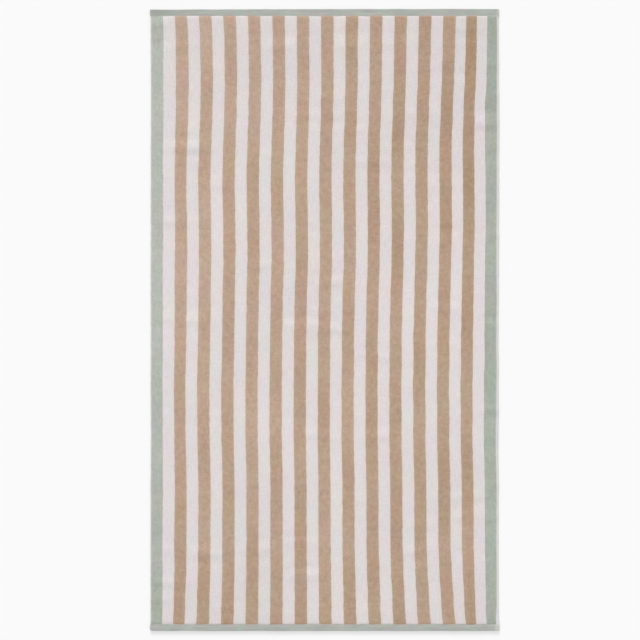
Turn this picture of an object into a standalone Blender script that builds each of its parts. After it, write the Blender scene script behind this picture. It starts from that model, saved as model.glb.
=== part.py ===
"""Beach towel, 90 by 160 cm: one woven cotton piece, lying flat with its cut pile up.

The cloth is striped lengthwise in white and sand, with a sage green band down
each long side. Both short ends are woven flat and green, turned under twice and
stitched down as narrow hems. The stripes bow and lean a little, because the
towel was smoothed out by hand, and low creases cross the pile.

X runs across the towel, Y along it towards its top end, and Z up. The origin is
on the surface that it lies on, under its middle. Lengths are in metres, apart
from the four tables, which are in millimetres.
"""

import math
from collections import namedtuple

import bmesh
import bpy

MM = 0.001

# The whole towel
WIDTH = 0.900
LENGTH = 1.600
PILE_THICKNESS = 0.0030

# The bands of colour, from the left edge to the right one
SIDE_BAND = 0.0297
WHITE_BAND = 0.0303
SAND_BAND = 0.0312
WHITE_BANDS = 14

# The hems: three layers of flat weave, with the stitching pulled into the face. On the
# underside a slit parts the turned layers from the loops of the back
HEM_DEPTH = 0.0172
HEM_THICKNESS = 0.0024
FOLD_ROUND = 0.0015
STITCH_LINE = 0.0140
STITCH_HALF_WIDTH = 0.0008
STITCH_DEPTH = 0.0005
SLIT_DEPTH = 0.0008
PILE_STEP = 0.0016

# The long edges: pile that rolls off on the left, a strip with no pile on the right
LEFT_ROLL = 0.0028
LEFT_RIM_UNDER = 0.0007
LEFT_RIM_FACE = 0.0020
SELVEDGE_WIDTH = 0.0062
SELVEDGE_UNDER = 0.0005
SELVEDGE_FACE = 0.0017
SELVEDGE_ROUND = 0.0006

# The yarns, as material name, linear colour and roughness
COTTON = {
    "white": ("white_cotton_pile", (0.74, 0.69, 0.69), 0.95),
    "sand": ("sand_cotton_pile", (0.49, 0.35, 0.25), 0.95),
    "sage": ("sage_cotton", (0.46, 0.49, 0.43), 0.90),
    "selvedge": ("undyed_selvedge", (0.62, 0.62, 0.61), 0.90),
}
COLOURS = list(COTTON)

# How finely the face follows the creases
ROW_PITCH = 0.0100
COLUMNS_PER_BAND = 2

# How far each long edge lies inside the hems' full width, at a distance down from the top end
OUTLINE = (
    # down, left, right
    (0.0, 0.4, 0.9),
    (3.0, 0.0, 0.2),
    (15.5, 0.0, 0.0),
    (18.5, 2.7, 1.1),
    (140.0, 2.7, 1.4),
    (480.0, 2.6, 1.8),
    (700.0, 2.8, 2.1),
    (900.0, 2.9, 2.8),
    (1040.0, 2.7, 1.2),
    (1120.0, 2.6, 2.1),
    (1400.0, 2.7, 1.9),
    (1560.0, 2.4, 1.4),
    (1582.0, 1.2, 0.7),
    (1594.0, 0.0, 0.2),
    (1600.0, 0.3, 1.0),
)

# How far the top fold falls short of the full length, at a distance right of the middle
TOP_END = (
    # right, short
    (-450.0, 2.0),
    (-300.0, 1.1),
    (-130.0, 0.5),
    (180.0, 0.0),
    (450.0, 0.2),
)

# How far the stripes lie to the right of even ones. The columns hold at these distances right
# of the middle, and the two long edges themselves have no shift
SHIFT_STATIONS = (-355.0, -15.0, 324.0, 413.0, 442.4)
STRIPE_SHIFT = (
    # down, left, middle, right, side band, its outer edge
    (0.0, 1.5, 9.5, 18.0, 6.0, 1.5),
    (90.0, 5.0, 9.0, 15.5, 5.0, 2.0),
    (180.0, 6.5, 10.0, 12.5, 4.0, 1.0),
    (260.0, 5.0, 9.0, 9.0, 1.0, 0.0),
    (340.0, 2.5, 6.5, 7.0, 1.5, 0.0),
    (440.0, 0.5, 4.5, 6.5, 2.5, 0.5),
    (560.0, 2.0, 6.0, 7.0, 2.5, 0.0),
    (650.0, 2.0, 6.0, 5.0, 1.0, 0.0),
    (750.0, 1.0, 3.5, 3.5, 0.5, 0.5),
    (860.0, -0.5, 1.5, 1.5, 0.0, 0.5),
    (960.0, -2.5, 1.0, 0.0, -0.5, 0.5),
    (1060.0, -1.5, 0.5, 0.0, -2.5, -1.0),
    (1250.0, 1.0, 2.5, 3.0, 0.0, 0.0),
    (1370.0, 0.0, 2.5, 4.0, 0.0, 0.0),
    (1440.0, -0.5, 3.0, 7.0, 1.5, 0.5),
    (1520.0, -1.5, 3.0, 10.5, 2.5, 0.5),
    (1600.0, -4.0, 3.0, 16.0, 2.5, -2.5),
)

# The main creases: low ridges, or troughs where rise is negative. Turn is in degrees, rising to
# the right, and half width is from the crest to where the crease ends
CREASES = (
    # right, down, length, half width, turn, rise
    (-438.0, 41.0, 90.0, 18.0, 4.0, 1.0),
    (45.0, 62.0, 130.0, 20.0, 4.0, -1.0),
    (371.0, 71.0, 90.0, 18.0, -2.0, -0.8),
    (60.0, 96.0, 110.0, 20.0, 2.0, 1.2),
    (-117.0, 97.0, 120.0, 20.0, 2.0, 0.9),
    (436.0, 144.0, 80.0, 18.0, 0.0, 0.8),
    (440.0, 226.0, 80.0, 18.0, 0.0, 0.9),
    (410.0, 262.0, 120.0, 20.0, -5.0, -1.0),
    (405.0, 296.0, 130.0, 18.0, 8.0, 1.0),
    (425.0, 316.0, 100.0, 16.0, 5.0, -0.9),
    (-352.0, 357.0, 215.0, 22.0, -1.0, 1.3),
    (-300.0, 455.0, 130.0, 20.0, -3.0, 0.7),
    (-372.0, 547.0, 200.0, 20.0, -1.0, 1.0),
    (438.0, 585.0, 80.0, 18.0, 0.0, 1.0),
    (-173.0, 659.0, 110.0, 18.0, -3.0, 0.8),
    (21.0, 703.0, 110.0, 18.0, 5.0, 0.7),
    (430.0, 795.0, 80.0, 14.0, 0.0, -0.9),
    (-350.0, 801.0, 250.0, 20.0, -4.0, 0.8),
    (-40.0, 819.0, 210.0, 22.0, -6.0, 1.5),
    (425.0, 1033.0, 110.0, 16.0, 0.0, 1.1),
    (435.0, 1053.0, 90.0, 16.0, 0.0, -1.4),
    (-20.0, 1097.0, 150.0, 20.0, -4.0, 1.0),
    (126.0, 1103.0, 110.0, 20.0, 3.0, 1.0),
    (437.0, 1228.0, 80.0, 18.0, 0.0, 0.8),
    (385.0, 1277.0, 160.0, 18.0, 6.0, -0.8),
    (435.0, 1306.0, 90.0, 16.0, 4.0, 0.9),
    (-172.0, 1392.0, 120.0, 18.0, 11.0, 0.7),
    (235.0, 1396.0, 100.0, 20.0, 2.0, 0.8),
    (-345.0, 1400.0, 225.0, 20.0, -4.0, 1.2),
    (-45.0, 1460.0, 150.0, 20.0, 6.0, 1.2),
    (-425.0, 1521.0, 90.0, 18.0, 4.0, 0.7),
)

# A lengthwise line of the grid, with the colour to its right, and a crosswise one. A hem's row
# sets the height of the face there, and elsewhere the column does
Column = namedtuple("Column", "across colour under face")
Row = namedtuple("Row", "down in_hem under face")


def eased(table, at, column):
    """A table's column, read between its rows with no corners at them."""
    if at <= table[0][0]:
        return table[0][column]
    for lower, upper in zip(table, table[1:]):
        if at <= upper[0]:
            part = (at - lower[0]) / (upper[0] - lower[0])
            part = part * part * (3 - 2 * part)
            return lower[column] + (upper[column] - lower[column]) * part
    return table[-1][column]


def stripe_shift(x, down, left_edge, right_edge):
    """How far the stripe that belongs at x lies to its right."""
    stations = [left_edge]
    shifts = [0.0]
    for column, station in enumerate(SHIFT_STATIONS, start=1):
        stations.append(station * MM)
        shifts.append(eased(STRIPE_SHIFT, down / MM, column) * MM)
    stations.append(right_edge)
    shifts.append(0.0)
    after = next(n for n in range(1, len(stations)) if x <= stations[n] or n == len(stations) - 1)
    part = (x - stations[after - 1]) / (stations[after] - stations[after - 1])
    return shifts[after - 1] + (shifts[after] - shifts[after - 1]) * part


def bump(part):
    """1 in the middle, falling smoothly to 0 where part is 1 and beyond."""
    return math.cos(math.pi / 2 * min(abs(part), 1.0)) ** 2


def crease_height(x, down):
    """How far the creases lift the face, or press it in where that is negative."""
    height = 0.0
    for right, middle_down, length, half_width, turn, rise in CREASES:
        to_right = x / MM - right
        to_top = middle_down - down / MM
        angle = math.radians(turn)
        along = to_right * math.cos(angle) + to_top * math.sin(angle)
        beside = to_top * math.cos(angle) - to_right * math.sin(angle)
        height += rise * bump(along / (length / 2)) * bump(beside / half_width)
    return height * MM


def band_edges():
    """Where each band starts, as (distance across, colour), and where the cloth ends."""
    edges = [(0.0, "sage")]
    at = SIDE_BAND
    for band in range(2 * WHITE_BANDS - 1):
        colour = "sand" if band % 2 else "white"
        edges.append((at, colour))
        at += SAND_BAND if colour == "sand" else WHITE_BAND
    edges.append((at, "sage"))
    edges.append((at + SIDE_BAND, "selvedge"))
    edges.append((at + SIDE_BAND + SELVEDGE_WIDTH, None))
    return edges


def grid_columns():
    """The lengthwise lines: the left rim's roll, each band's edges and middle, and the bare strip."""
    edges = band_edges()
    columns = [
        Column(0.0, "sage", LEFT_RIM_UNDER, LEFT_RIM_FACE),
        Column(LEFT_ROLL * 0.35, "sage", LEFT_RIM_UNDER * 0.3, PILE_THICKNESS * 0.9),
    ]
    for (start, colour), (end, _) in zip(edges[:-2], edges[1:-1]):
        first = max(start, LEFT_ROLL)
        for step in range(COLUMNS_PER_BAND):
            across = first + (end - first) * step / COLUMNS_PER_BAND
            columns.append(Column(across, colour, 0.0, PILE_THICKNESS))
    strip_start = edges[-2][0]
    strip_end = edges[-1][0]
    bevel = SELVEDGE_ROUND / 2
    columns.append(Column(strip_start - PILE_STEP, "sage", 0.0, PILE_THICKNESS))
    columns.append(Column(strip_start, "selvedge", SELVEDGE_UNDER, SELVEDGE_FACE))
    columns.append(Column(strip_end - SELVEDGE_ROUND, "selvedge", SELVEDGE_UNDER, SELVEDGE_FACE))
    columns.append(Column(strip_end, None, SELVEDGE_UNDER + bevel, SELVEDGE_FACE - bevel))
    return columns


def grid_rows():
    """The crosswise lines: a hem, the pile in even steps, and the other hem."""
    hem = [
        Row(0.0, True, HEM_THICKNESS * 0.3, HEM_THICKNESS * 0.7),
        Row(FOLD_ROUND * 0.3, True, HEM_THICKNESS * 0.1, HEM_THICKNESS * 0.9),
        Row(FOLD_ROUND, True, 0.0, HEM_THICKNESS),
        Row(STITCH_LINE - STITCH_HALF_WIDTH, True, 0.0, HEM_THICKNESS),
        Row(STITCH_LINE, True, 0.0, HEM_THICKNESS - STITCH_DEPTH),
        Row(STITCH_LINE + STITCH_HALF_WIDTH, True, 0.0, HEM_THICKNESS),
        Row(HEM_DEPTH - PILE_STEP / 2, True, 0.0, HEM_THICKNESS),
        Row(HEM_DEPTH, True, SLIT_DEPTH, HEM_THICKNESS),
    ]
    pile_start = HEM_DEPTH + PILE_STEP
    pile_length = LENGTH - 2 * pile_start
    steps = round(pile_length / ROW_PITCH)
    pile = [Row(pile_start + pile_length * step / steps, False, 0.0, None) for step in range(steps + 1)]
    far_hem = [row._replace(down=LENGTH - row.down) for row in reversed(hem)]
    return hem + pile + far_hem


def point(column, row, on_face):
    """The place of the point where two lines of the grid cross."""
    left_edge = -WIDTH / 2 + eased(OUTLINE, row.down / MM, 1) * MM
    right_edge = WIDTH / 2 - eased(OUTLINE, row.down / MM, 2) * MM
    cut_width = band_edges()[-1][0]
    even_x = left_edge + (right_edge - left_edge) * column.across / cut_width
    x = even_x + stripe_shift(even_x, row.down, left_edge, right_edge)
    share_of_top_hem = max(1 - row.down / HEM_DEPTH, 0.0)
    y = LENGTH / 2 - row.down - eased(TOP_END, x / MM, 1) * MM * share_of_top_hem
    if row.in_hem:
        z = row.face if on_face else row.under
    else:
        z = column.face if on_face else column.under
    if z == PILE_THICKNESS:
        z += crease_height(x, row.down)
    return x, y, z


def new_material(name, colour, roughness):
    material = bpy.data.materials.new(name)
    material.use_nodes = True
    shader = material.node_tree.nodes["Principled BSDF"]
    shader.inputs["Base Color"].default_value = (*colour, 1.0)
    shader.inputs["Roughness"].default_value = roughness
    shader.inputs["Metallic"].default_value = 0.0
    return material


def build_towel(collection):
    """The cloth: a grid coloured band by band, doubled into face and underside, then shaped."""
    columns = grid_columns()
    rows = grid_rows()
    steps_across = len(columns) - 1
    steps_down = len(rows) - 1
    cloth = bmesh.new()
    bmesh.ops.create_grid(cloth, x_segments=steps_across, y_segments=steps_down, size=1.0)
    for face in cloth.faces:
        middle = face.calc_center_median()
        column = math.floor((middle.x + 1) / 2 * steps_across)
        row = math.floor((1 - middle.y) / 2 * steps_down)
        in_hem = rows[row].in_hem and rows[row + 1].in_hem
        face.material_index = COLOURS.index("sage" if in_hem else columns[column].colour)

    doubled = bmesh.ops.extrude_face_region(cloth, geom=list(cloth.faces), use_keep_orig=True)
    on_face = {element for element in doubled["geom"] if isinstance(element, bmesh.types.BMVert)}
    for vertex in cloth.verts:
        column = columns[round((vertex.co.x + 1) / 2 * steps_across)]
        row = rows[round((1 - vertex.co.y) / 2 * steps_down)]
        vertex.co = point(column, row, vertex in on_face)
    bmesh.ops.recalc_face_normals(cloth, faces=cloth.faces)

    mesh = bpy.data.meshes.new("towel")
    cloth.to_mesh(mesh)
    cloth.free()
    for name in COLOURS:
        mesh.materials.append(new_material(*COTTON[name]))
    towel = bpy.data.objects.new("towel", mesh)
    collection.objects.link(towel)


for old in list(bpy.data.objects):
    bpy.data.objects.remove(old, do_unlink=True)
towel_collection = bpy.data.collections.new("beach_towel")
bpy.context.scene.collection.children.link(towel_collection)
build_towel(towel_collection)
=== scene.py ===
import math
from collections import namedtuple

import bmesh
import bpy
from mathutils import Matrix, Vector, noise


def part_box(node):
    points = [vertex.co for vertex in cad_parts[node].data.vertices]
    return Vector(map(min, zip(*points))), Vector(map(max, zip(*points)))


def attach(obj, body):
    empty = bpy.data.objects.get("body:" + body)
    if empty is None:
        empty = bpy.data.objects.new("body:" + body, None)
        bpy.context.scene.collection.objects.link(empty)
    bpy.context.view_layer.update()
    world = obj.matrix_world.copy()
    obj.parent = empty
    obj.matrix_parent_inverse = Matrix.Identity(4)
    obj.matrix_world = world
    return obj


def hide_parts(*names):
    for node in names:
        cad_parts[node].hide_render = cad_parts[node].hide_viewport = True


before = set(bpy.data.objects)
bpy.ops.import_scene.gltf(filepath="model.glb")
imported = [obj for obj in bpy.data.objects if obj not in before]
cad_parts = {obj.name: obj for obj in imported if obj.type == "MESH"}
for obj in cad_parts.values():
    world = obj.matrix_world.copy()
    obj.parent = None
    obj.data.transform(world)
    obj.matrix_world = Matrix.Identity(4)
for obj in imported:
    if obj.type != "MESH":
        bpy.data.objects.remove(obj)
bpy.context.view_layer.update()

# ---------------------------------------------------------------------------------------------
# The cloth. A beach towel is woven in one piece: a cotton ground with loops of pile on both
# sides, the loops of the face sheared to velour, and the pile yarns dyed white, sand and sage
# so that the stripes run the whole length. Both ends are woven flat, turned twice and hemmed.
# ---------------------------------------------------------------------------------------------
MM = 0.001
towel_low, towel_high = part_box("towel")
WIDTH = towel_high.x - towel_low.x
LENGTH = towel_high.y - towel_low.y
SURFACE = towel_low.z
PILE_THICKNESS = 0.0030

# The bands, from the left edge to the right one
SIDE_BAND = 0.0297
WHITE_BAND = 0.0303
SAND_BAND = 0.0312
WHITE_BANDS = 14
STRIPE_REPEAT = WHITE_BAND + SAND_BAND
STRIPED_WIDTH = WHITE_BANDS * STRIPE_REPEAT - SAND_BAND
SELVEDGE_WIDTH = 0.0062
CUT_WIDTH = 2 * SIDE_BAND + STRIPED_WIDTH + SELVEDGE_WIDTH

# The hems. In section each is three layers of flat weave, of this thickness and at these
# heights, and its inner fold and its stitches lie inside its edge. At the two ends of a hem the
# inner layers lie a little further in than the one on top. The stitches pinch it in a dimple
TOP_HEM = 0.0195
FOOT_HEM = 0.0180
WEAVE = 0.00074
TOP_LAYER = 0.00198
TURNED_LAYER = 0.00120
BOTTOM_LAYER = 0.00042
OUTER_FOLD = 0.0012
INNER_FOLD_INSIDE = 0.0018
RAW_EDGE = 0.0026
TURNED_INSET = 0.0008
BOTTOM_INSET = 0.0003
STITCHES_INSIDE = 0.0032
STITCH_PINCH = 0.00018
DIMPLE = 0.0014

# Where the pile begins beyond a hem's edge, and the heights of its face and back there
PILE_FRONT = (
    # beyond, face, back
    (0.0002, 0.0024, 0.0006),
    (0.0010, 0.0027, 0.0001),
    (0.0034, 0.0029, 0.0),
)
FIRST_PILE_ROW = 0.0070

# The long edges in section, with the heights of face and back. The pile rolls off over this
# width at both, and past its right end is a strip woven without pile
ROLL = 0.0028
LEFT_RIM = (
    # inward, face, back
    (0.0, 0.0019, 0.0008),
    (0.0005, 0.0025, 0.0003),
    (0.0014, 0.0029, 0.0001),
)
PILE_END = CUT_WIDTH - SELVEDGE_WIDTH
RIGHT_RIM = (
    # past the pile's end, face, back
    (-0.0012, 0.0029, 0.0001),
    (-0.0003, 0.0025, 0.0005),
)
STRIP = (
    # past the pile's end, face, back
    (0.0, 0.0018, 0.0010),
    (0.0030, 0.0014, 0.0006),
    (SELVEDGE_WIDTH - 0.0004, 0.0011, 0.0003),
    (SELVEDGE_WIDTH, 0.0009, 0.0005),
)

# The tables from here to the creases are in millimetres. The first is how far each long edge
# lies inside the hems' full width, at a distance down from the top end
OUTLINE = (
    # down, left, right
    (0.0, 1.4, 2.4),
    (3.0, 1.1, 1.8),
    (18.0, 1.1, 1.8),
    (22.0, 2.8, 1.9),
    (100.0, 2.8, 1.6),
    (200.0, 3.2, 1.2),
    (300.0, 3.2, 0.2),
    (400.0, 2.8, 1.0),
    (480.0, 2.7, 1.1),
    (600.0, 2.8, 1.4),
    (730.0, 2.4, 1.6),
    (790.0, 2.8, 2.2),
    (860.0, 2.9, 2.8),
    (920.0, 2.8, 1.6),
    (980.0, 2.5, 2.4),
    (1040.0, 2.8, 1.8),
    (1110.0, 3.0, 2.9),
    (1250.0, 2.4, 2.0),
    (1400.0, 2.3, 2.4),
    (1560.0, 2.6, 1.8),
    (1578.0, 2.4, 0.6),
    (1586.0, 1.0, 0.8),
    (1594.0, 0.3, 0.8),
    (1597.0, 1.2, 1.0),
    (1600.0, 3.6, 1.8),
)
LEFT_COLUMN, RIGHT_COLUMN = 1, 2

# How far the top fold falls short of the full length, at a distance right of the middle
TOP_END = (
    # right, short
    (-450.0, 1.8),
    (-250.0, 1.2),
    (-50.0, 0.7),
    (150.0, 0.2),
    (330.0, 0.0),
    (450.0, 0.2),
)

# How far the stripes lie to the right of even ones. The columns hold at these distances right
# of the middle, and the two long edges themselves have no shift
SHIFT_STATIONS = (-405.0, -355.0, -15.0, 324.0, 413.0, 442.4)
STRIPE_SHIFT = (
    # down, first white, left, middle, right, side band, its outer edge
    (0.0, 2.5, 1.0, 10.0, 17.5, 6.0, 1.0),
    (90.0, 4.0, 5.5, 9.0, 15.0, 5.5, 1.5),
    (180.0, 3.0, 6.5, 9.5, 12.0, 3.5, 0.5),
    (260.0, 3.5, 5.0, 8.0, 8.0, -1.0, 0.0),
    (340.0, 2.5, 2.5, 5.5, 5.0, -1.0, 0.0),
    (440.0, 2.5, 0.0, 4.0, 5.5, 1.0, 0.0),
    (560.0, 3.5, 2.0, 5.5, 6.5, 1.5, -0.5),
    (650.0, 2.0, 2.5, 6.0, 4.5, 0.0, -0.5),
    (750.0, 2.0, 1.5, 3.0, 2.5, -0.5, 0.5),
    (860.0, 1.5, 0.0, 1.5, 1.0, -0.5, 0.5),
    (960.0, 1.0, -2.0, 1.0, -0.5, -2.0, 0.5),
    (1060.0, 1.5, -2.0, 0.5, 0.5, -2.5, -0.5),
    (1250.0, 2.5, 1.5, 2.5, 3.0, 0.0, 0.5),
    (1370.0, 1.0, 1.0, 3.0, 3.5, 0.5, 0.5),
    (1440.0, 1.5, 0.5, 3.5, 6.5, 1.5, 1.0),
    (1520.0, 1.0, -2.5, 4.0, 11.0, 2.0, 0.5),
    (1600.0, -1.0, -5.0, 4.0, 16.0, 3.0, -3.0),
)

# The creases that folding left: low ridges, or troughs where rise is negative. Turn is in
# degrees, rising to the right, and half width is from the crest to where the crease ends
CREASES = (
    # right, down, length, half width, turn, rise
    (-430.0, 40.0, 90.0, 18.0, 4.0, 1.75),
    (370.0, 50.0, 100.0, 16.0, 0.0, 0.75),
    (65.0, 61.0, 130.0, 18.0, 2.0, -1.0),
    (200.0, 62.0, 400.0, 18.0, 2.0, -0.25),
    (-100.0, 65.0, 200.0, 18.0, 0.0, -0.5),
    (370.0, 73.0, 100.0, 18.0, -2.0, -1.0),
    (-430.0, 88.0, 110.0, 18.0, 6.0, -1.0),
    (185.0, 90.0, 180.0, 18.0, 0.0, 0.5),
    (65.0, 96.0, 120.0, 20.0, 2.0, 1.25),
    (-115.0, 97.0, 130.0, 20.0, 2.0, 1.5),
    (-370.0, 98.0, 120.0, 18.0, 3.0, 0.75),
    (435.0, 144.0, 80.0, 18.0, 0.0, 0.75),
    (260.0, 151.0, 160.0, 18.0, 0.0, 0.25),
    (-250.0, 152.0, 120.0, 18.0, 4.0, 0.5),
    (340.0, 165.0, 280.0, 20.0, 1.0, -0.75),
    (120.0, 182.0, 120.0, 18.0, 2.0, 0.5),
    (-115.0, 198.0, 120.0, 18.0, 0.0, 0.5),
    (440.0, 225.0, 80.0, 18.0, 0.0, 1.0),
    (30.0, 229.0, 240.0, 18.0, -2.0, 0.5),
    (415.0, 263.0, 120.0, 20.0, -4.0, -1.0),
    (225.0, 272.0, 270.0, 20.0, 4.0, 0.75),
    (-40.0, 273.0, 260.0, 18.0, 2.0, 0.5),
    (30.0, 294.0, 280.0, 18.0, -1.0, -0.75),
    (410.0, 295.0, 130.0, 18.0, 6.0, 1.25),
    (430.0, 316.0, 100.0, 16.0, 5.0, -0.75),
    (-350.0, 331.0, 180.0, 18.0, 3.0, -0.5),
    (435.0, 355.0, 80.0, 18.0, 0.0, 0.5),
    (-350.0, 357.0, 220.0, 20.0, -1.0, 1.25),
    (190.0, 359.0, 120.0, 18.0, -2.0, 0.5),
    (-140.0, 377.0, 140.0, 16.0, -3.0, 0.75),
    (-340.0, 378.0, 180.0, 18.0, -3.0, -0.5),
    (430.0, 383.0, 80.0, 18.0, 0.0, -1.0),
    (115.0, 393.0, 180.0, 18.0, -3.0, 0.75),
    (240.0, 420.0, 600.0, 18.0, -1.0, -0.5),
    (-310.0, 421.0, 110.0, 18.0, -4.0, -0.5),
    (-300.0, 452.0, 140.0, 20.0, -3.0, 0.75),
    (335.0, 456.0, 260.0, 18.0, -2.0, 0.5),
    (435.0, 488.0, 100.0, 18.0, 0.0, 0.5),
    (-385.0, 494.0, 150.0, 18.0, -3.0, 0.5),
    (-375.0, 546.0, 210.0, 20.0, -1.0, 1.0),
    (313.0, 568.0, 90.0, 18.0, 2.0, -1.0),
    (438.0, 584.0, 80.0, 18.0, 0.0, 1.25),
    (313.0, 599.0, 100.0, 18.0, 0.0, 0.5),
    (30.0, 639.0, 160.0, 18.0, 2.0, 0.5),
    (-172.0, 660.0, 110.0, 18.0, -3.0, 1.0),
    (15.0, 681.0, 120.0, 18.0, 2.0, -0.5),
    (250.0, 702.0, 110.0, 18.0, 0.0, -0.5),
    (22.0, 703.0, 110.0, 18.0, 4.0, 1.0),
    (313.0, 749.0, 110.0, 18.0, -2.0, -0.75),
    (316.0, 770.0, 130.0, 18.0, 0.0, 0.75),
    (-320.0, 772.0, 110.0, 18.0, 2.0, -0.5),
    (432.0, 795.0, 80.0, 14.0, 0.0, -1.25),
    (-55.0, 796.0, 240.0, 18.0, 1.0, -0.75),
    (-360.0, 800.0, 250.0, 20.0, -4.0, 0.75),
    (436.0, 814.0, 80.0, 14.0, 0.0, 0.5),
    (-60.0, 815.0, 200.0, 22.0, -6.0, 0.75),
    (-432.0, 816.0, 90.0, 16.0, 0.0, -0.75),
    (28.0, 825.0, 110.0, 18.0, -4.0, 1.25),
    (-355.0, 826.0, 150.0, 16.0, -2.0, -0.25),
    (5.0, 848.0, 130.0, 18.0, 4.0, -0.5),
    (310.0, 866.0, 260.0, 18.0, -2.0, 0.5),
    (130.0, 893.0, 150.0, 18.0, -5.0, 0.75),
    (172.0, 916.0, 120.0, 18.0, 4.0, -0.25),
    (-40.0, 959.0, 240.0, 18.0, 1.0, 0.25),
    (187.0, 971.0, 110.0, 18.0, 0.0, 0.5),
    (-190.0, 1029.0, 120.0, 18.0, 2.0, -0.5),
    (428.0, 1032.0, 110.0, 16.0, 1.0, 1.25),
    (435.0, 1051.0, 90.0, 16.0, 0.0, -1.0),
    (-60.0, 1055.0, 150.0, 18.0, -4.0, -0.5),
    (130.0, 1076.0, 120.0, 18.0, 0.0, -0.25),
    (-22.0, 1096.0, 170.0, 20.0, -4.0, 1.25),
    (436.0, 1100.0, 90.0, 18.0, 0.0, 0.5),
    (128.0, 1101.0, 120.0, 20.0, 2.0, 1.25),
    (436.0, 1128.0, 80.0, 18.0, 0.0, -1.0),
    (-125.0, 1199.0, 130.0, 18.0, -2.0, 0.5),
    (55.0, 1202.0, 100.0, 16.0, 0.0, -0.5),
    (437.0, 1226.0, 80.0, 18.0, 0.0, 1.0),
    (345.0, 1256.0, 340.0, 18.0, 2.0, 0.5),
    (60.0, 1264.0, 110.0, 20.0, 0.0, 0.5),
    (395.0, 1275.0, 150.0, 18.0, 5.0, -0.75),
    (245.0, 1299.0, 110.0, 18.0, 0.0, -0.5),
    (436.0, 1307.0, 90.0, 16.0, 3.0, 1.0),
    (335.0, 1308.0, 180.0, 18.0, 8.0, 0.5),
    (65.0, 1327.0, 120.0, 16.0, -2.0, -0.5),
    (250.0, 1328.0, 120.0, 18.0, 4.0, 0.5),
    (-110.0, 1357.0, 300.0, 18.0, 2.0, -0.5),
    (-440.0, 1357.0, 80.0, 18.0, 0.0, -0.5),
    (-315.0, 1369.0, 110.0, 18.0, 0.0, -0.5),
    (-45.0, 1373.0, 180.0, 18.0, 0.0, 0.5),
    (-410.0, 1391.0, 120.0, 20.0, 0.0, 1.0),
    (-172.0, 1391.0, 120.0, 18.0, 10.0, 1.0),
    (237.0, 1397.0, 110.0, 20.0, 2.0, 1.25),
    (-300.0, 1402.0, 140.0, 20.0, -3.0, 1.0),
    (-160.0, 1418.0, 110.0, 18.0, 2.0, -0.5),
    (-310.0, 1425.0, 150.0, 18.0, -2.0, -0.75),
    (-55.0, 1436.0, 130.0, 16.0, 3.0, -0.75),
    (-42.0, 1459.0, 160.0, 20.0, 5.0, 1.25),
    (-400.0, 1475.0, 170.0, 18.0, -5.0, 1.0),
    (-420.0, 1496.0, 110.0, 16.0, -3.0, -0.5),
    (-150.0, 1513.0, 240.0, 18.0, 1.0, 0.25),
    (-427.0, 1521.0, 90.0, 18.0, 4.0, 1.0),
    (-263.0, 1543.0, 160.0, 18.0, -3.0, 0.5),
    (150.0, 1550.0, 240.0, 18.0, -3.0, 0.5),
    (-130.0, 1558.0, 250.0, 18.0, 1.0, 0.5),
)

# How finely the cloth is divided, and the angle in degrees from which a turn in it looks sharp
CELLS_PER_BAND = 5
PILE_ROW = 0.0072
SHARP_TURN = 50.0

# How uneven it is: over a hand's breadth, from clump to clump, where the pile laps over a hem's
# edge, in the line of a hem and in its puckers, and along the rims. Each has its reach, its size
# and a seed of its own. The lap and the puckers go to and fro about a mean
SWELL_REACH, SWELL, SWELL_SEED = 0.090, 0.0005, 5.2
CLUMP_REACH, CLUMP, CLUMP_SEED = 0.011, 0.00016, 8.4
LAP_REACH, LAP, LAP_SEED, MEAN_LAP = 0.016, 0.0013, 6.1, 0.5
LINE_REACH, LINE_WANDER, LINE_SEED = 0.035, 0.0005, 2.6
PUCKER_REACH, PUCKER, PUCKER_SEED, MEAN_PUCKER = 0.011, 0.00016, 7.7, 0.4
RIM_REACH, RIM_WANDER, LEFT_SEED, RIGHT_SEED = 0.011, 0.0006, 1.3, 4.9

# In a hem this changes more slowly towards the end than sideways, by these shares, and the line
# wanders in full from two thirds of the way to the end. The cloth follows its rims' wander to
# this depth, and less so in a hem
LINE_SLOWER, PUCKER_SLOWER = 0.1, 0.3
LINE_GROWTH = 1.5
RIM_DEPTH = 0.012
RIM_SHARE_IN_HEM = 0.3

# The swell fades out this near a hem, and the back stays down under creases lower than this
CALM_BY_HEM = 0.030
SLACK = 0.0002

# A lengthwise line of the cloth has its distance across, the heights of its face and back, and
# whether it is in the bare strip. A crosswise line has its distance along the even cloth, how far
# its ends are drawn in, whether it is in a hem, and how far from the top end and how high its
# face and back lie
Column = namedtuple("Column", "across face back strip")
Row = namedtuple("Row", "along inset in_hem face_in face_up back_in back_up")


def eased(table, at, column):
    """A table's column, read between its rows with no corners at them."""
    if at <= table[0][0]:
        return table[0][column]
    for lower, upper in zip(table, table[1:]):
        if at <= upper[0]:
            part = (at - lower[0]) / (upper[0] - lower[0])
            part = part * part * (3 - 2 * part)
            return lower[column] + (upper[column] - lower[column]) * part
    return table[-1][column]


def stripe_shift(x, down, left_edge, right_edge):
    """How far the stripe that belongs at x lies to its right."""
    stations = [left_edge]
    shifts = [0.0]
    for column, station in enumerate(SHIFT_STATIONS, start=1):
        stations.append(station * MM)
        shifts.append(eased(STRIPE_SHIFT, down / MM, column) * MM)
    stations.append(right_edge)
    shifts.append(0.0)
    last = len(stations) - 1
    after = next((number for number in range(1, last) if x <= stations[number]), last)
    part = (x - stations[after - 1]) / (stations[after] - stations[after - 1])
    return shifts[after - 1] + (shifts[after] - shifts[after - 1]) * part


def bump(part):
    """1 in the middle, falling smoothly to 0 where part is 1 and beyond."""
    return math.cos(math.pi / 2 * min(abs(part), 1.0)) ** 2


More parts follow.
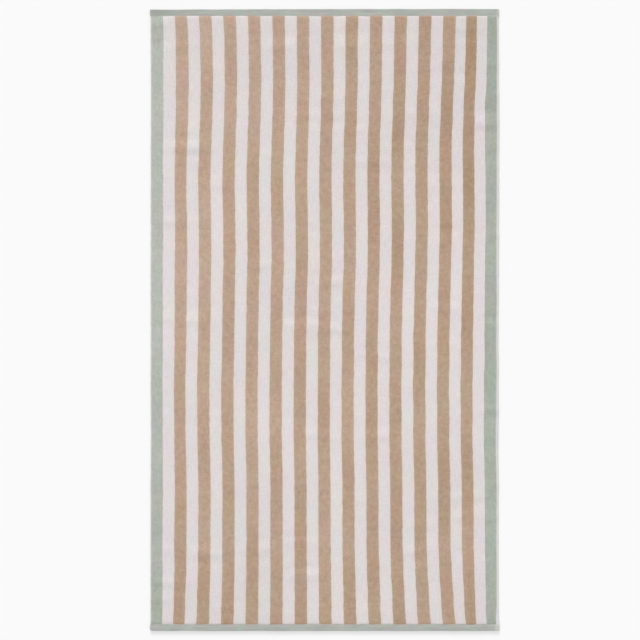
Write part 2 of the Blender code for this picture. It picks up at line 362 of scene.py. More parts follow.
def crease_height(x, down):
    """How far the creases lift the cloth, or press it in where that is negative."""
    height = 0.0
    for right, middle_down, length, half_width, turn, rise in CREASES:
        to_right = x / MM - right
        to_top = middle_down - down / MM
        if abs(to_right) > length or abs(to_top) > length:
            continue
        angle = math.radians(turn)
        along = to_right * math.cos(angle) + to_top * math.sin(angle)
        beside = to_top * math.cos(angle) - to_right * math.sin(angle)
        height += rise * bump(along / (length / 2)) * bump(beside / half_width)
    return height * MM


def wander(across, along, reach, seed):
    """A smooth uneven value about zero that turns within this reach."""
    return noise.noise(Vector((across / reach, along / reach, seed)))


def cloth_columns():
    """The lengthwise lines of the cloth: the rolled rim, the bands' cells and the bare strip."""
    columns = [Column(inward, face, back, False) for inward, face, back in LEFT_RIM]
    start = 0.0
    for band in range(2 * WHITE_BANDS + 1):
        side = band in (0, 2 * WHITE_BANDS)
        width = SIDE_BAND if side else SAND_BAND if band % 2 == 0 else WHITE_BAND
        first = max(start, ROLL)
        last = min(start + width, PILE_END - ROLL)
        for cell in range(CELLS_PER_BAND):
            across = first + (last - first) * cell / CELLS_PER_BAND
            columns.append(Column(across, PILE_THICKNESS, 0.0, False))
        start += width
    columns.append(Column(PILE_END - ROLL, PILE_THICKNESS, 0.0, False))
    columns += [Column(PILE_END + past, face, back, False) for past, face, back in RIGHT_RIM]
    columns += [Column(PILE_END + past, face, back, True) for past, face, back in STRIP]
    return columns


def hem_rows(depth):
    """The crosswise lines of a hem, from its hidden raw edge, round both folds, to the pile."""
    middles = []

    def run(start, end, height, heading, inset, steps):
        """Points of a flat layer, from its start to just short of its end."""
        for step in range(steps):
            middles.append((start + (end - start) * step / steps, height, heading, inset))

    def fold(centre_in, low, high, heading, inset, steps):
        """Points round a fold between two layers, to just short of its end."""
        radius = (high - low) / 2
        for step in range(steps):
            here = heading - math.pi * step / steps
            middles.append((
                centre_in - radius * math.sin(here),
                (low + high) / 2 + radius * math.cos(here),
                here,
                inset,
            ))

    inner_fold = depth - INNER_FOLD_INSIDE
    stitches = depth - STITCHES_INSIDE
    near = stitches - DIMPLE
    far = stitches + DIMPLE

    # The layers' headings, each half a turn on from the last: the turned one runs inward, the
    # bottom one back to the end, and the top one inward again
    turned = 0.0
    bottom = -math.pi
    top = -2 * math.pi
    run(RAW_EDGE, inner_fold, TURNED_LAYER, turned, TURNED_INSET, steps=4)
    fold(inner_fold, BOTTOM_LAYER, TURNED_LAYER, turned, TURNED_INSET, steps=6)
    run(inner_fold, far, BOTTOM_LAYER, bottom, BOTTOM_INSET, steps=1)
    run(far, stitches, BOTTOM_LAYER, bottom, BOTTOM_INSET, steps=1)
    run(stitches, near, BOTTOM_LAYER + STITCH_PINCH, bottom, BOTTOM_INSET, steps=1)
    run(near, OUTER_FOLD, BOTTOM_LAYER, bottom, BOTTOM_INSET, steps=4)
    fold(OUTER_FOLD, BOTTOM_LAYER, TOP_LAYER, bottom, BOTTOM_INSET, steps=8)
    run(OUTER_FOLD, near, TOP_LAYER, top, 0.0, steps=4)
    run(near, stitches, TOP_LAYER, top, 0.0, steps=1)
    run(stitches, far, TOP_LAYER - STITCH_PINCH, top, 0.0, steps=1)
    run(far, depth, TOP_LAYER, top, 0.0, steps=2)
    middles.append((depth, TOP_LAYER, top, 0.0))

    rows = []
    along = 0.0
    for step, (inward, height, heading, inset) in enumerate(middles):
        if step:
            along += math.hypot(inward - middles[step - 1][0], height - middles[step - 1][1])
        side_in = -math.sin(heading) * WEAVE / 2
        side_up = math.cos(heading) * WEAVE / 2
        face = (inward + side_in, height + side_up)
        rows.append(Row(along, inset, True, *face, inward - side_in, height - side_up))
    to_fold = along - depth
    rows = [row._replace(along=row.along - to_fold) for row in rows]
    for beyond, face, back in PILE_FRONT:
        down = depth + beyond
        rows.append(Row(down, 0.0, False, down, face, down, back))
    return rows


def cloth_rows():
    """All the crosswise lines: the top hem, the pile in even steps, and the bottom hem."""
    start = TOP_HEM + FIRST_PILE_ROW
    pile_length = LENGTH - start - FOOT_HEM - FIRST_PILE_ROW
    steps = round(pile_length / PILE_ROW)
    pile = []
    for step in range(steps + 1):
        down = start + pile_length * step / steps
        pile.append(Row(down, 0.0, False, down, PILE_THICKNESS, down, 0.0))
    foot = [
        row._replace(
            along=LENGTH - row.along,
            face_in=LENGTH - row.face_in,
            back_in=LENGTH - row.back_in,
        )
        for row in reversed(hem_rows(FOOT_HEM))
    ]
    return hem_rows(TOP_HEM) + pile + foot


def edge_inset(side, seed, inward, down, row):
    """How far a long edge lies inside the full width, as the cloth this far inward follows it."""
    wobble = RIM_WANDER * (RIM_SHARE_IN_HEM if row.in_hem else 1.0)
    share = max(1 - inward / RIM_DEPTH, 0.0)
    drawn_in = eased(OUTLINE, down / MM, side) * MM + row.inset
    return drawn_in + wobble * share * wander(0, down, RIM_REACH, seed)


def past_hem(down):
    """How far past the nearer hem a point is, or less than 0 in the hem."""
    return min(down - TOP_HEM, LENGTH - FOOT_HEM - down)


def lie_flat(column, row, down, on_face):
    """Where a point lies sideways and lengthwise, with its stripe pulled askew."""
    from_right = CUT_WIDTH - column.across
    left_edge = edge_inset(LEFT_COLUMN, LEFT_SEED, column.across, down, row) - WIDTH / 2
    right_edge = WIDTH / 2 - edge_inset(RIGHT_COLUMN, RIGHT_SEED, from_right, down, row)
    even_x = left_edge + (right_edge - left_edge) * column.across / CUT_WIDTH
    x = even_x + stripe_shift(even_x, down, left_edge, right_edge)
    y = LENGTH / 2 - down
    end = math.copysign(1, y)
    share_of_hem = max(-past_hem(down) / TOP_HEM, 0.0)
    if end > 0:
        y -= eased(TOP_END, x / MM, 1) * MM * share_of_hem
    line = wander(x, down * LINE_SLOWER, LINE_REACH, LINE_SEED)
    y += LINE_WANDER * line * min(LINE_GROWTH * share_of_hem, 1.0)
    if on_face and abs(past_hem(down)) < LAP:
        y += end * max(MEAN_LAP + wander(x, end, LAP_REACH, LAP_SEED), 0.0) * LAP
    return x, y


def lie_high(column, row, x, down, on_face):
    """How high over the surface a point lies, in a hem's puckers or in the creases and clumps."""
    if row.in_hem:
        height = row.face_up if on_face else row.back_up
        raised = max(height / (TOP_LAYER + WEAVE / 2), 0.0)
        pucker = MEAN_PUCKER + wander(x, down * PUCKER_SLOWER, PUCKER_REACH, PUCKER_SEED)
        return height + PUCKER * raised * pucker
    crease = crease_height(x, down)
    lift = max(crease - SLACK, 0.0)
    if not on_face:
        return max(row.back_up, column.back) + lift
    height = min(row.face_up, column.face)
    calm = min(max(past_hem(down), 0.0) / CALM_BY_HEM, 1.0)
    swell = SWELL * wander(x, down, SWELL_REACH, SWELL_SEED) * calm
    clump = CLUMP * wander(x, down, CLUMP_REACH, CLUMP_SEED)
    pressed = (crease - lift + swell + clump) * height / PILE_THICKNESS
    return height + lift + pressed


def lie(column, row, on_face):
    """Where a point of the cloth's face or back lies."""
    down = row.face_in if on_face else row.back_in
    x, y = lie_flat(column, row, down, on_face)
    return Vector((x, y, SURFACE + lie_high(column, row, x, down, on_face)))


def make_cloth():
    """A grid with a line for each column and row, doubled into face and back, then laid."""
    columns = cloth_columns()
    rows = cloth_rows()
    steps_across = len(columns) - 1
    steps_down = len(rows) - 1
    cloth = bmesh.new()
    weave_map = cloth.loops.layers.uv.new("weave")
    bmesh.ops.create_grid(cloth, x_segments=steps_across, y_segments=steps_down, size=1.0)

    def lines_at(co):
        """The numbers of the column and the row that meet at this point of the grid."""
        return round((co.x + 1) / 2 * steps_across), round((1 - co.y) / 2 * steps_down)

    # Each cell has its finish, and its corners know their place on the even cloth
    for face in cloth.faces:
        middle = face.calc_center_median()
        column = columns[math.floor((middle.x + 1) / 2 * steps_across)]
        row_above = math.floor((1 - middle.y) / 2 * steps_down)
        in_hem = rows[row_above].in_hem and rows[row_above + 1].in_hem
        face.material_index = HEM if in_hem else SELVEDGE if column.strip else FACE
        face.smooth = True
        for loop in face.loops:
            across, down = lines_at(loop.vert.co)
            loop[weave_map].uv = (columns[across].across, rows[down].along)

    # The first sheet is the back, and the one drawn from it is the face
    back_faces = list(cloth.faces)
    doubled = bmesh.ops.extrude_face_region(cloth, geom=back_faces, use_keep_orig=True)
    face_points = {part for part in doubled["geom"] if isinstance(part, bmesh.types.BMVert)}
    for face in back_faces:
        if face.material_index == FACE:
            face.material_index = BACK
    for vertex in cloth.verts:
        across, down = lines_at(vertex.co)
        vertex.co = lie(columns[across], rows[down], vertex in face_points)
    bmesh.ops.recalc_face_normals(cloth, faces=cloth.faces)
    mesh = bpy.data.meshes.new("striped_cloth")
    cloth.to_mesh(mesh)
    cloth.free()
    mesh.set_sharp_from_angle(angle=math.radians(SHARP_TURN))
    towel = bpy.data.objects.new("striped_cloth", mesh)
    bpy.context.scene.collection.objects.link(towel)
    return towel


# The finishes of the cloth: sheared pile, looped pile, flat weave and the bare strip
FACE, BACK, HEM, SELVEDGE = range(4)
WHITE_YARN = (0.743, 0.690, 0.694)
SAND_DEEP = (0.383, 0.251, 0.153)
SAND_PALE = (0.600, 0.439, 0.351)
SAGE_DEEP = (0.350, 0.391, 0.330)
SAGE_PALE = (0.526, 0.539, 0.496)
SAGE_WEFT = (0.439, 0.464, 0.427)
BARE_YARN = (0.680, 0.680, 0.665)


class Finish:
    """A material under construction, with its Principled shader and short ways to add nodes."""

    def __init__(self, name):
        self.material = bpy.data.materials.new(name)
        self.material.use_nodes = True
        self.nodes = self.material.node_tree.nodes
        self.links = self.material.node_tree.links
        self.shader = self.nodes["Principled BSDF"]

    def add(self, kind, inputs=None, **settings):
        """A node with these settings, and its inputs by name or number as values or as links."""
        node = self.nodes.new(kind)
        for name, value in settings.items():
            setattr(node, name, value)
        for name, value in (inputs or {}).items():
            if isinstance(value, bpy.types.NodeSocket):
                self.links.new(value, node.inputs[name])
            else:
                node.inputs[name].default_value = value
        return node

    def maths(self, operation, *values):
        """The result of a Math node."""
        return self.add("ShaderNodeMath", dict(enumerate(values)), operation=operation).outputs[0]

    def plus(self, value, amount, other):
        """A value with this amount of another one added."""
        return self.maths("MULTIPLY_ADD", other, amount, value)

    def rest(self, share):
        """What a share leaves of 1."""
        return self.maths("SUBTRACT", 1.0, share)

    def soft_step(self, value, edge, half_width):
        """0 below the edge, 1 above it, and smooth across its width."""
        limits = {"Value": value, "From Min": edge - half_width, "From Max": edge + half_width}
        return self.add("ShaderNodeMapRange", limits, interpolation_type="SMOOTHSTEP").outputs[0]

    def mixed(self, share, one, other):
        """One colour giving way to another."""
        sockets = {0: share, 4: one, 5: other}
        return self.add("ShaderNodeMix", sockets, data_type="VECTOR").outputs[1]

    def colour_maths(self, operation, one, other):
        """The result of a Vector Math node on two colours, or on a place and its stretch."""
        sockets = {0: one, 1: other}
        return self.add("ShaderNodeVectorMath", sockets, operation=operation).outputs[0]

    def scaled(self, colour, amount):
        """A colour made this many times lighter."""
        sockets = {0: colour, "Scale": amount}
        return self.add("ShaderNodeVectorMath", sockets, operation="SCALE").outputs[0]

    def place(self):
        """Where a point is on the even cloth, as one value of two numbers."""
        return self.add("ShaderNodeUVMap", uv_map="weave").outputs[0]

    def two_ways(self, place):
        """The two numbers of a place: how far across the cloth it is, and how far along."""
        numbers = self.add("ShaderNodeSeparateXYZ", {0: place}).outputs
        return numbers[0], numbers[1]

    def stretched(self, place, across, along):
        """A place with its two numbers made this many times larger."""
        return self.colour_maths("MULTIPLY", place, (across, along, 1.0))

    def uneven(self, colour, place, scale, swing):
        """A colour that turns a little in hue from place to place."""
        lots = self.add("ShaderNodeTexNoise", {"Vector": place, "Scale": scale, "Detail": 3.0})
        turn = self.colour_maths("SUBTRACT", lots.outputs["Color"], (0.5, 0.5, 0.5))
        hue = self.colour_maths("ADD", self.scaled(turn, swing), (1.0, 1.0, 1.0))
        return self.colour_maths("MULTIPLY", colour, hue)

    def grain(self, place, across, along, detail=2.0):
        """Noise from -0.5 to 0.5 with this many lumps a metre across and along the cloth."""
        lumps = self.stretched(place, across, along)
        lumpy = self.add("ShaderNodeTexNoise", {"Vector": lumps, "Scale": 1.0, "Detail": detail})
        return self.maths("SUBTRACT", lumpy.outputs["Fac"], 0.5)

    def done(self, colour, shade, height, depth, roughness, sheen, gloss):
        """The material: its colour times shade, a relief this deep, and its sheen and gloss."""
        self.links.new(self.scaled(colour, shade), self.shader.inputs["Base Color"])
        relief = self.add("ShaderNodeBump", {"Height": height, "Distance": depth, "Strength": 1.0})
        self.links.new(relief.outputs[0], self.shader.inputs["Normal"])
        self.shader.inputs["Roughness"].default_value = roughness
        self.shader.inputs["Sheen Weight"].default_value = sheen
        self.shader.inputs["Sheen Roughness"].default_value = 0.5
        self.shader.inputs["Specular IOR Level"].default_value = gloss
        return self.material


# How light pile looks in the middle, and what it gains or loses from there: at both ends, to
# the right, at the top left and foot right corners, and unevenly. The middle's gain over the
# ends, the loss to the right and the gains and losses at the corners are painted light and
# shade; the uneven part is tone at random. Here and below, a grain is in lumps a metre, across
# the cloth and along it
LIGHT_IN_MIDDLE = 1.013
LIGHT_AT_ENDS = -0.042
LIGHT_AT_RIGHT = -0.006
LIGHT_AT_CORNERS = 0.013
CLUMP_GRAIN, CLUMP_LIGHT = (84.0, 76.0), 0.04
DRIFT_GRAIN, DRIFT_LIGHT = (3.0, 2.0), 0.09

# The same for how pale dyed pile looks, from 0 for its deep colour to 1 for its pale one. Each
# band has long patches of its own, and the side bands are deeper at their ends. They begin at
# this share of the way from the middle to the edge
PALE_IN_MIDDLE = 0.5
PALE_AT_ENDS = -0.05
PALE_AT_FOOT = -0.06
PALE_AT_RIGHT = -0.14
PALE_AT_CORNERS = 0.125
PALE_AT_SIDE_ENDS = -0.10
CLUMP_PALE = 0.62
PATCH_GRAIN, PATCH_PALE = (6.0, 5.5), 0.70
PATCHES_APART = 2.7
SIDE_BANDS_FROM, SIDE_BANDS_FADE = 0.93, 0.01


def tone_and_painted_shade(finish):
    """Painted light and shade on the pile, and its tone. Three results: how light any yarn is,
    painted darker towards the ends, the right and two corners and lighter at the other two,
    with clumps and drift at random; how pale a dyed one is, which differs from stripe to stripe
    in long patches and changes towards the ends, the right and the corners; and a place for
    noise that differs in the same way."""
    at = finish.place()
    across, along = finish.two_ways(at)
    to_right = finish.plus(-1.0, 2.0 / CUT_WIDTH, across)
    to_foot = finish.plus(-1.0, 2.0 / LENGTH, along)
    ends = finish.maths("MULTIPLY", to_foot, to_foot)
    corners = finish.maths("MULTIPLY", to_right, to_foot)
    clump = finish.grain(at, *CLUMP_GRAIN)
    light = finish.plus(LIGHT_IN_MIDDLE, LIGHT_AT_ENDS, ends)
    light = finish.plus(light, LIGHT_AT_CORNERS, corners)
    light = finish.plus(light, LIGHT_AT_RIGHT, to_right)
    light = finish.plus(light, CLUMP_LIGHT, clump)
    light = finish.plus(light, DRIFT_LIGHT, finish.grain(at, *DRIFT_GRAIN, detail=1.0))

    patch_across = finish.maths("MULTIPLY", across, PATCH_GRAIN[0])
    patch_along = finish.maths("MULTIPLY", along, PATCH_GRAIN[1])
    band = finish.maths("FLOOR", finish.maths("DIVIDE", across, STRIPE_REPEAT / 2))
    own = finish.maths("MULTIPLY", band, PATCHES_APART)
    numbers = {0: patch_across, 1: patch_along, 2: own}
    patch_at = finish.add("ShaderNodeCombineXYZ", numbers).outputs[0]
    pale = finish.plus(PALE_IN_MIDDLE, PATCH_PALE, finish.grain(patch_at, 1.0, 1.0, detail=3.0))
    pale = finish.plus(pale, PALE_AT_RIGHT, to_right)
    pale = finish.plus(pale, PALE_AT_CORNERS, corners)
    pale = finish.plus(pale, PALE_AT_FOOT, finish.maths("MULTIPLY", ends, to_foot))
    to_side = finish.maths("ABSOLUTE", to_right)
    in_side_band = finish.soft_step(to_side, SIDE_BANDS_FROM, SIDE_BANDS_FADE)
    pale = finish.plus(pale, finish.plus(PALE_AT_ENDS, PALE_AT_SIDE_ENDS, in_side_band), ends)
    return light, finish.plus(pale, CLUMP_PALE, clump), patch_at


# Where tufts of neighbouring bands mix. The bands blend over this half width, and their edges
# lean to and fro. Stray tufts tint each band to some way in, but not past the middle of the
# outermost white bands
TUFT_GRAIN = (620.0, 480.0)
LEAN_GRAIN, LEAN = (30.0, 40.0), 0.0030
BLEND = 0.0005
STRAY_REACH, STRAY_FADE, STRAY_END = 0.0035, 0.0055, 0.002
WHITE_BY_SAND = (1.030, 0.935, 0.825)
SAND_BY_WHITE = (0.960, 1.080, 1.220)

# How much painted sheen lightens the cloth towards the undyed yarn where it rolls off, and over
# what width from the edge, which is narrower by this much at the right
PAINTED_RIM_SHEEN = 0.45
RIM_ROLLED, RIM_FADE = 0.0028, 0.0022
RIGHT_RIM_NARROWER = 1.6

# How much the hue of all yarn swings, how much more that of dyed yarn does, and how finely,
# counted in lumps a patch
HUE_SWING, DYED_SWING, HUE_SCALE = 0.13, 0.07, 2.2


def rolled_off(finish, inward):
    """1 at an edge where the cloth rolls off, and 0 further in."""
    return finish.rest(finish.soft_step(inward, RIM_ROLLED, RIM_FADE))


def stripes(finish, pale, patch_at, fray):
    """The yarn colours across the cloth, where tufts of neighbouring bands mix over the fray
    and a few stray further, and how far the yarn is a dyed one."""
    at = finish.place()
    across, _ = finish.two_ways(at)
    tufts = finish.maths("MULTIPLY", finish.grain(at, *TUFT_GRAIN), fray)
    lean = finish.maths("MULTIPLY", finish.grain(at, *LEAN_GRAIN), LEAN)
    across = finish.maths("ADD", across, finish.maths("ADD", tufts, lean))
    from_white = finish.maths("SUBTRACT", across, SIDE_BAND + WHITE_BAND / 2)
    in_repeat = finish.maths("PINGPONG", from_white, STRIPE_REPEAT / 2)
    sand = finish.soft_step(in_repeat, WHITE_BAND / 2, BLEND)
    to_right = finish.maths("SUBTRACT", across, SIDE_BAND + STRIPED_WIDTH / 2)
    from_middle = finish.maths("ABSOLUTE", to_right)
    side = finish.soft_step(from_middle, STRIPED_WIDTH / 2, BLEND)
    sand_yarn = finish.mixed(pale, SAND_DEEP, SAND_PALE)
    sage_yarn = finish.mixed(pale, SAGE_DEEP, SAGE_PALE)
    colour = finish.mixed(side, finish.mixed(sand, WHITE_YARN, sand_yarn), sage_yarn)

    to_sand = finish.maths("ABSOLUTE", finish.maths("SUBTRACT", in_repeat, WHITE_BAND / 2))
    stray = finish.rest(finish.soft_step(to_sand, STRAY_REACH, STRAY_FADE))
    outermost = finish.soft_step(from_middle, STRIPED_WIDTH / 2 - WHITE_BAND / 2, STRAY_END)
    stray = finish.maths("MULTIPLY", stray, finish.rest(outermost))
    by_neighbour = finish.mixed(sand, WHITE_BY_SAND, SAND_BY_WHITE)
    tint = finish.mixed(stray, (1.0, 1.0, 1.0), by_neighbour)
    colour = finish.colour_maths("MULTIPLY", colour, tint)

    # Painted sheen: the pile is lightened towards the undyed yarn where it rolls off at both long
    # edges
    from_strip = finish.plus(RIGHT_RIM_NARROWER * PILE_END, -RIGHT_RIM_NARROWER, across)
    rim = rolled_off(finish, finish.maths("MINIMUM", across, from_strip))
    colour = finish.mixed(finish.maths("MULTIPLY", rim, PAINTED_RIM_SHEEN), colour, BARE_YARN)
    dyed = finish.maths("MAXIMUM", sand, side)
    swing = finish.plus(HUE_SWING, DYED_SWING, dyed)
    return finish.uneven(colour, patch_at, HUE_SCALE, swing), dyed


# The sheared face: the fray of its bands, and its ribs, locks and cut tufts
FACE_FRAY = 0.0024
RIB_GRAIN, RIB_LIGHT, RIB_HEIGHT = (340.0, 42.0), 0.22, 0.5
LOCK_GRAIN, LOCK_LIGHT, DYED_LOCK_LIGHT = (180.0, 170.0), 0.03, 0.16
CUT_GRAIN, CUT_LIGHT = (760.0, 680.0), 0.12


def velour():
    """The sheared face: cut pile in fine lengthwise ribs."""
    finish = Finish("velour_face")
    at = finish.place()
    # light holds painted shade: darker towards the ends, the right and two corners
    light, pale, patch_at = tone_and_painted_shade(finish)
    colour, dyed = stripes(finish, pale, patch_at, FACE_FRAY)
    rib = finish.grain(at, *RIB_GRAIN)
    lock = finish.grain(at, *LOCK_GRAIN, detail=1.0)
    tuft = finish.grain(at, *CUT_GRAIN)
    light = finish.plus(light, RIB_LIGHT, rib)
    light = finish.plus(light, finish.plus(LOCK_LIGHT, DYED_LOCK_LIGHT, dyed), lock)
    light = finish.plus(light, CUT_LIGHT, tuft)
    height = finish.plus(finish.maths("ADD", tuft, lock), RIB_HEIGHT, rib)
    return finish.done(colour, light, height, depth=0.0006, roughness=0.92, sheen=0.2, gloss=0.2)


# The back: the fray of its bands, its loops, and how much lighter their crowns are
BACK_FRAY = 0.0030
LOOP_GRAIN, CROWN_LIGHT = (460.0, 380.0), 0.35


def loops():
    """The back: uncut loops, with shade between them."""
    finish = Finish("looped_back")
    # light holds painted shade: darker towards the ends, the right and two corners
    light, pale, patch_at = tone_and_painted_shade(finish)
    colour, _ = stripes(finish, pale, patch_at, BACK_FRAY)
    spread = finish.stretched(finish.place(), *LOOP_GRAIN)
    loop = finish.add("ShaderNodeTexVoronoi", {"Vector": spread, "Scale": 1.0}, feature="F1")
    crown = finish.maths("SUBTRACT", 0.5, loop.outputs["Distance"])
    light = finish.plus(light, CROWN_LIGHT, crown)
    return finish.done(colour, light, crown, depth=0.0009, roughness=0.92, sheen=0.2, gloss=0.2)


# The hems: their warp threads and picks, how uneven their weft is in shade, height and hue, the
# top hem's darker left end, painted shade on the outer fold, the bare right end, and lint, more
# of dyed pile than white
WARP_PITCH, WARP_SHADE, WARP_HEIGHT = 0.0011, 0.03, 0.5
PICK_PITCH, PICK_HEIGHT = 0.0008, 0.4
WEFT_LIGHT = 0.98
CORD_GRAIN, CORD_SHADE, CORD_HEIGHT = (10.0, 420.0), 0.26, 3.0
SLUB_GRAIN, SLUB_SHADE = (60.0, 1400.0), 0.24
WEFT_PATCH_GRAIN, WEFT_PATCH_SHADE = (24.0, 110.0), 0.26
WEFT_HUE_GRAIN, WEFT_HUE_SWING = (34.0, 190.0), 0.42
LEFT_END_LENGTH, LEFT_END_DARKER = 0.050, -0.16
FOLD_PAINTED_SHADE = -0.04
BARE_INSIDE, BARE_FADE = 0.001, 0.004
BARE_AT_TOP, BARE_MORE_AT_FOOT = 0.35, 0.10
LINT_FROM, LINT_FADE = 0.72, 0.30
LINT_GRAIN, LINT, LINT_FRAY = (40.0, 160.0), 0.36, 0.004
WHITE_LINT, DYED_LINT = 0.2, 0.8

# What differs between the two hems changes halfway along the cloth, over this half width
CHANGE_OVER = 0.1


def flat_weave():
    """The headings that the hems are folded from: sage weft beaten close over fine ribs, barer
    at the right end and lightened with painted sheen at the left one, with lint of the pile near
    the hem's inner edge, and painted shade on the outer fold where it rounds over. The top hem
    is darker towards its left end."""
    finish = Finish("flat_woven_hem")
    at = finish.place()
    across, along = finish.two_ways(at)
    warp = finish.maths("SINE", finish.maths("MULTIPLY", across, 2 * math.pi / WARP_PITCH))
    pick = finish.maths("SINE", finish.maths("MULTIPLY", along, 2 * math.pi / PICK_PITCH))
    cord = finish.grain(at, *CORD_GRAIN, detail=1.0)
    shade = finish.plus(WEFT_LIGHT, SLUB_SHADE, finish.grain(at, *SLUB_GRAIN))
    shade = finish.plus(shade, CORD_SHADE, cord)
    shade = finish.plus(shade, WEFT_PATCH_SHADE, finish.grain(at, *WEFT_PATCH_GRAIN))
    shade = finish.plus(shade, WARP_SHADE, warp)
    height = finish.plus(finish.maths("MULTIPLY", pick, PICK_HEIGHT), WARP_HEIGHT, warp)
    height = finish.plus(height, CORD_HEIGHT, cord)

    at_foot = finish.soft_step(along, LENGTH / 2, CHANGE_OVER)
    at_left = finish.rest(finish.soft_step(across, LEFT_END_LENGTH, LEFT_END_LENGTH))
    # Darker towards the top hem's left end
    darker_left = finish.maths("MULTIPLY", at_left, finish.rest(at_foot))
    shade = finish.plus(shade, LEFT_END_DARKER, darker_left)
    from_end = finish.maths("MINIMUM", along, finish.maths("SUBTRACT", LENGTH, along))
    # Painted shade on the outer fold, where it rounds over
    shade = finish.plus(shade, FOLD_PAINTED_SHADE, rolled_off(finish, from_end))
    bare = finish.soft_step(across, PILE_END - BARE_INSIDE, BARE_FADE)
    bare_share = finish.plus(BARE_AT_TOP, BARE_MORE_AT_FOOT, at_foot)
    bare = finish.maths("MULTIPLY", bare, bare_share)
    # Painted sheen lightens the hem's left end towards the undyed yarn, where the cloth rolls off
    bare = finish.plus(bare, PAINTED_RIM_SHEEN / 2, rolled_off(finish, across))

    linty = finish.soft_step(from_end, FOOT_HEM * LINT_FROM, FOOT_HEM * LINT_FADE)
    fluff = finish.maths("ADD", finish.grain(at, *LINT_GRAIN), LINT)
    linty = finish.maths("MULTIPLY", linty, fluff)
    lint, dyed = stripes(finish, 1.0, at, LINT_FRAY)
    linty = finish.maths("MULTIPLY", linty, finish.plus(WHITE_LINT, DYED_LINT, dyed))
    hue_at = finish.stretched(at, *WEFT_HUE_GRAIN)
    weft = finish.mixed(linty, finish.uneven(SAGE_WEFT, hue_at, 1.0, WEFT_HUE_SWING), lint)
    colour = finish.mixed(bare, weft, BARE_YARN)
    return finish.done(colour, shade, height, depth=0.0001, roughness=0.85, sheen=0.1, gloss=0.3)


# The bare strip: its single yarns, and longer uneven stretches
YARN_GRAIN, YARN_SHADE = (1300.0, 300.0), 0.2
STRETCH_GRAIN, STRETCH_SHADE = (200.0, 60.0), 0.15


def bare_strip():
    """The strip outside the right band, woven in undyed yarn with no pile."""
    finish = Finish("bare_selvedge")
    at = finish.place()
    yarn = finish.grain(at, *YARN_GRAIN)
    shade = finish.plus(1.0, YARN_SHADE, yarn)
    shade = finish.plus(shade, STRETCH_SHADE, finish.grain(at, *STRETCH_GRAIN))
    return finish.done(BARE_YARN, shade, yarn, depth=0.0002, roughness=0.88, sheen=0.1, gloss=0.3)


cloth = make_cloth()
for finished in (velour(), loops(), flat_weave(), bare_strip()):
    cloth.data.materials.append(finished)
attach(cloth, "root")
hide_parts("towel")

# ---------------------------------------------------------------------------------------------
# The hem stitching. Each hem is held by one row of lockstitch in sage thread near its inner
# edge. The thread shows as a line of short stitches on the face, and the same on the back.
# ---------------------------------------------------------------------------------------------
STITCH_PITCH = 0.0028
STITCH_LENGTH = 0.0023
THREAD = 0.00042
THREAD_SAGE = (0.420, 0.450, 0.395)
TWIST_TURN, TWIST_SCALE, TWIST_SHADE, THREAD_LIGHT = 35.0, 900.0, 0.25, 0.85

# How far a stitch slants on average, in degrees, and over how many stitches that changes
STITCH_SLANT, SLANT_REACH = 4.0, 3


def make_stitches():
    """One bead of thread repeated in a row, then spread over the four lines and into place."""
    bead = bmesh.new()
    slim = Matrix.Diagonal((STITCH_LENGTH / 2, THREAD / 2, THREAD / 2, 1.0))
    bmesh.ops.create_uvsphere(bead, u_segments=6, v_segments=4, radius=1.0, matrix=slim)
    for face in bead.faces:
        face.smooth = True
    points = len(bead.verts)
    mesh = bpy.data.meshes.new("stitch")
    bead.to_mesh(mesh)
    bead.free()
    single = bpy.data.objects.new("stitch", mesh)
    bpy.context.scene.collection.objects.link(single)

    on_face = TOP_LAYER + WEAVE / 2 - STITCH_PINCH
    on_back = BOTTOM_LAYER - WEAVE / 2 + STITCH_PINCH
    lines = [
        (end, depth, height)
        for end, depth in ((1, TOP_HEM), (-1, FOOT_HEM))
        for height in (on_face, on_back)
    ]
    in_line = round((WIDTH - 2 * STITCH_PITCH) / STITCH_PITCH)
    row = single.modifiers.new("row", "ARRAY")
    row.count = in_line * len(lines)
    row.use_relative_offset = False
    row.use_constant_offset = True
    row.constant_offset_displace = (STITCH_PITCH, 0.0, 0.0)
    repeated = single.evaluated_get(bpy.context.evaluated_depsgraph_get())
    sewn = bpy.data.meshes.new_from_object(repeated)
    sewn.name = "hem_stitches"
    bpy.data.objects.remove(single)

    # A point is in a bead by its number, and the bead in a line and at its middle, x and y
    for vertex in sewn.vertices:
        number = vertex.index // points
        end, depth, height = lines[number // in_line]
        along = vertex.co.x - number * STITCH_PITCH
        x = (number % in_line - (in_line - 1) / 2) * STITCH_PITCH
        y = LENGTH / 2 - depth + STITCHES_INSIDE
        if end > 0:
            y -= eased(TOP_END, x / MM, 1) * MM * STITCHES_INSIDE / TOP_HEM
        uneven = wander(x, height, STITCH_PITCH * SLANT_REACH, end)
        slant = math.radians(STITCH_SLANT * (1 + uneven))
        sideways = vertex.co.y + along * slant
        vertex.co = (x + along, y * end + sideways, SURFACE + height + vertex.co.z)
    stitches = bpy.data.objects.new("hem_stitches", sewn)
    bpy.context.scene.collection.objects.link(stitches)
    return stitches


def twisted_thread():
    """Matt sewing thread, with its twist as slanting ridges."""
    finish = Finish("sage_thread")
    at = finish.add("ShaderNodeTexCoord").outputs["Object"]
    turn = (0.0, 0.0, math.radians(TWIST_TURN))
    slanted = finish.add("ShaderNodeMapping", {"Vector": at, "Rotation": turn}).outputs[0]
    wave = finish.add("ShaderNodeTexWave", {"Vector": slanted, "Scale": TWIST_SCALE})
    twist = wave.outputs["Fac"]
    shade = finish.plus(THREAD_LIGHT, TWIST_SHADE, twist)
    return finish.done(THREAD_SAGE, shade, twist, depth=0.0001, roughness=0.6, sheen=0.1, gloss=0.4)


stitches = make_stitches()
stitches.data.materials.append(twisted_thread())
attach(stitches, "root")

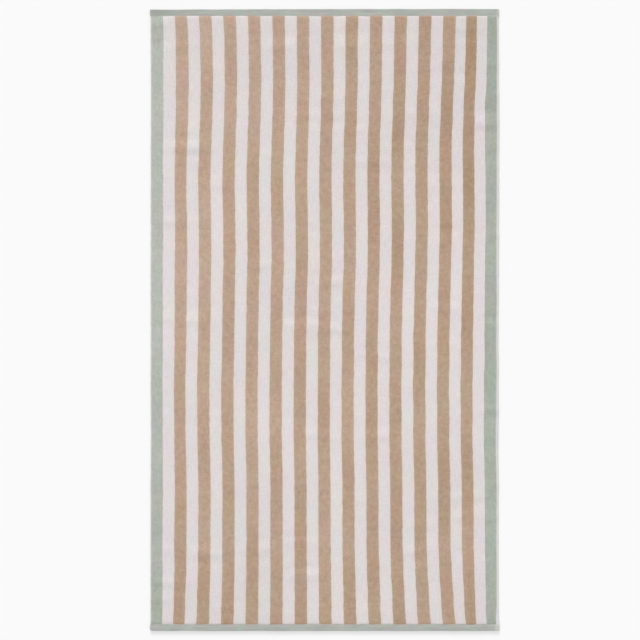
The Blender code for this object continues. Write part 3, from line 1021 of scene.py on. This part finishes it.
# ---------------------------------------------------------------------------------------------
# The floor, the lights and the camera. A plain pale floor, an even sky that is as light as the
# floor at the horizon, and one broad low lamp beyond the top end, so shade falls at the foot.
# ---------------------------------------------------------------------------------------------
FLOOR_SIDE = 400.0
FLOOR_GAP = 0.0002
FLOOR_GREY = 0.955
HORIZON = 0.956
ZENITH = 0.827
HORIZON_REACH = 0.35
LAMP_STRENGTH = 2.57

# Angles in degrees: the lamp's height over the floor, its turn to the left, and its breadth
LAMP_HEIGHT = 12.0
LAMP_FROM_LEFT = 8.0
LAMP_BREADTH = 10.0

# The camera looks straight down, and a pixel of the photo is this long on the towel
PHOTO_PIXELS = 640
PIXEL = 0.0025712
TOWEL_MIDDLE_PIXEL = (324.65, 319.85)
LENS = 70.0
SENSOR = 36.0

ground = bmesh.new()
bmesh.ops.create_grid(ground, x_segments=1, y_segments=1, size=FLOOR_SIDE / 2)
floor_mesh = bpy.data.meshes.new("floor")
ground.to_mesh(floor_mesh)
ground.free()
floor = bpy.data.objects.new("floor", floor_mesh)
floor.location.z = SURFACE - FLOOR_GAP
bpy.context.scene.collection.objects.link(floor)
paper = bpy.data.materials.new("pale_paper")
paper.use_nodes = True
paper_shader = paper.node_tree.nodes["Principled BSDF"]
paper_shader.inputs["Base Color"].default_value = (FLOOR_GREY, FLOOR_GREY, FLOOR_GREY, 1.0)
paper_shader.inputs["Roughness"].default_value = 1.0
paper_shader.inputs["Specular IOR Level"].default_value = 0.0
floor_mesh.materials.append(paper)

world = bpy.data.worlds.new("even_sky")
world.use_nodes = True
sky_nodes = world.node_tree.nodes
sky_links = world.node_tree.links
direction = sky_nodes.new("ShaderNodeTexCoord")
upward = sky_nodes.new("ShaderNodeSeparateXYZ")
fading = sky_nodes.new("ShaderNodeMapRange")
fading.interpolation_type = "SMOOTHSTEP"
fading.inputs["From Max"].default_value = HORIZON_REACH
fading.inputs["To Min"].default_value = HORIZON
fading.inputs["To Max"].default_value = ZENITH
sky_links.new(direction.outputs["Generated"], upward.inputs[0])
sky_links.new(upward.outputs[2], fading.inputs["Value"])
sky_links.new(fading.outputs[0], sky_nodes["Background"].inputs["Strength"])
sky_nodes["Background"].inputs["Color"].default_value = (1.0, 1.0, 1.0, 1.0)
bpy.context.scene.world = world

lamp_data = bpy.data.lights.new("low_lamp", "SUN")
lamp_data.energy = LAMP_STRENGTH
lamp_data.angle = math.radians(LAMP_BREADTH)
lamp = bpy.data.objects.new("low_lamp", lamp_data)
lamp_height = math.radians(LAMP_HEIGHT)
from_left = math.radians(LAMP_FROM_LEFT)
from_lamp = Vector((
    math.sin(from_left) * math.cos(lamp_height),
    -math.cos(from_left) * math.cos(lamp_height),
    -math.sin(lamp_height),
))
lamp.rotation_mode = "QUATERNION"
lamp.rotation_quaternion = from_lamp.to_track_quat("-Z", "Y")
bpy.context.scene.collection.objects.link(lamp)

camera_data = bpy.data.cameras.new("overhead")
camera_data.lens = LENS
camera_data.sensor_width = SENSOR
camera = bpy.data.objects.new("overhead", camera_data)
camera.location = (
    (PHOTO_PIXELS / 2 - TOWEL_MIDDLE_PIXEL[0]) * PIXEL,
    (TOWEL_MIDDLE_PIXEL[1] - PHOTO_PIXELS / 2) * PIXEL,
    SURFACE + PILE_THICKNESS + PHOTO_PIXELS * PIXEL * LENS / SENSOR,
)
bpy.context.scene.collection.objects.link(camera)
bpy.context.scene.camera = camera
bpy.context.scene.view_settings.view_transform = "Standard"
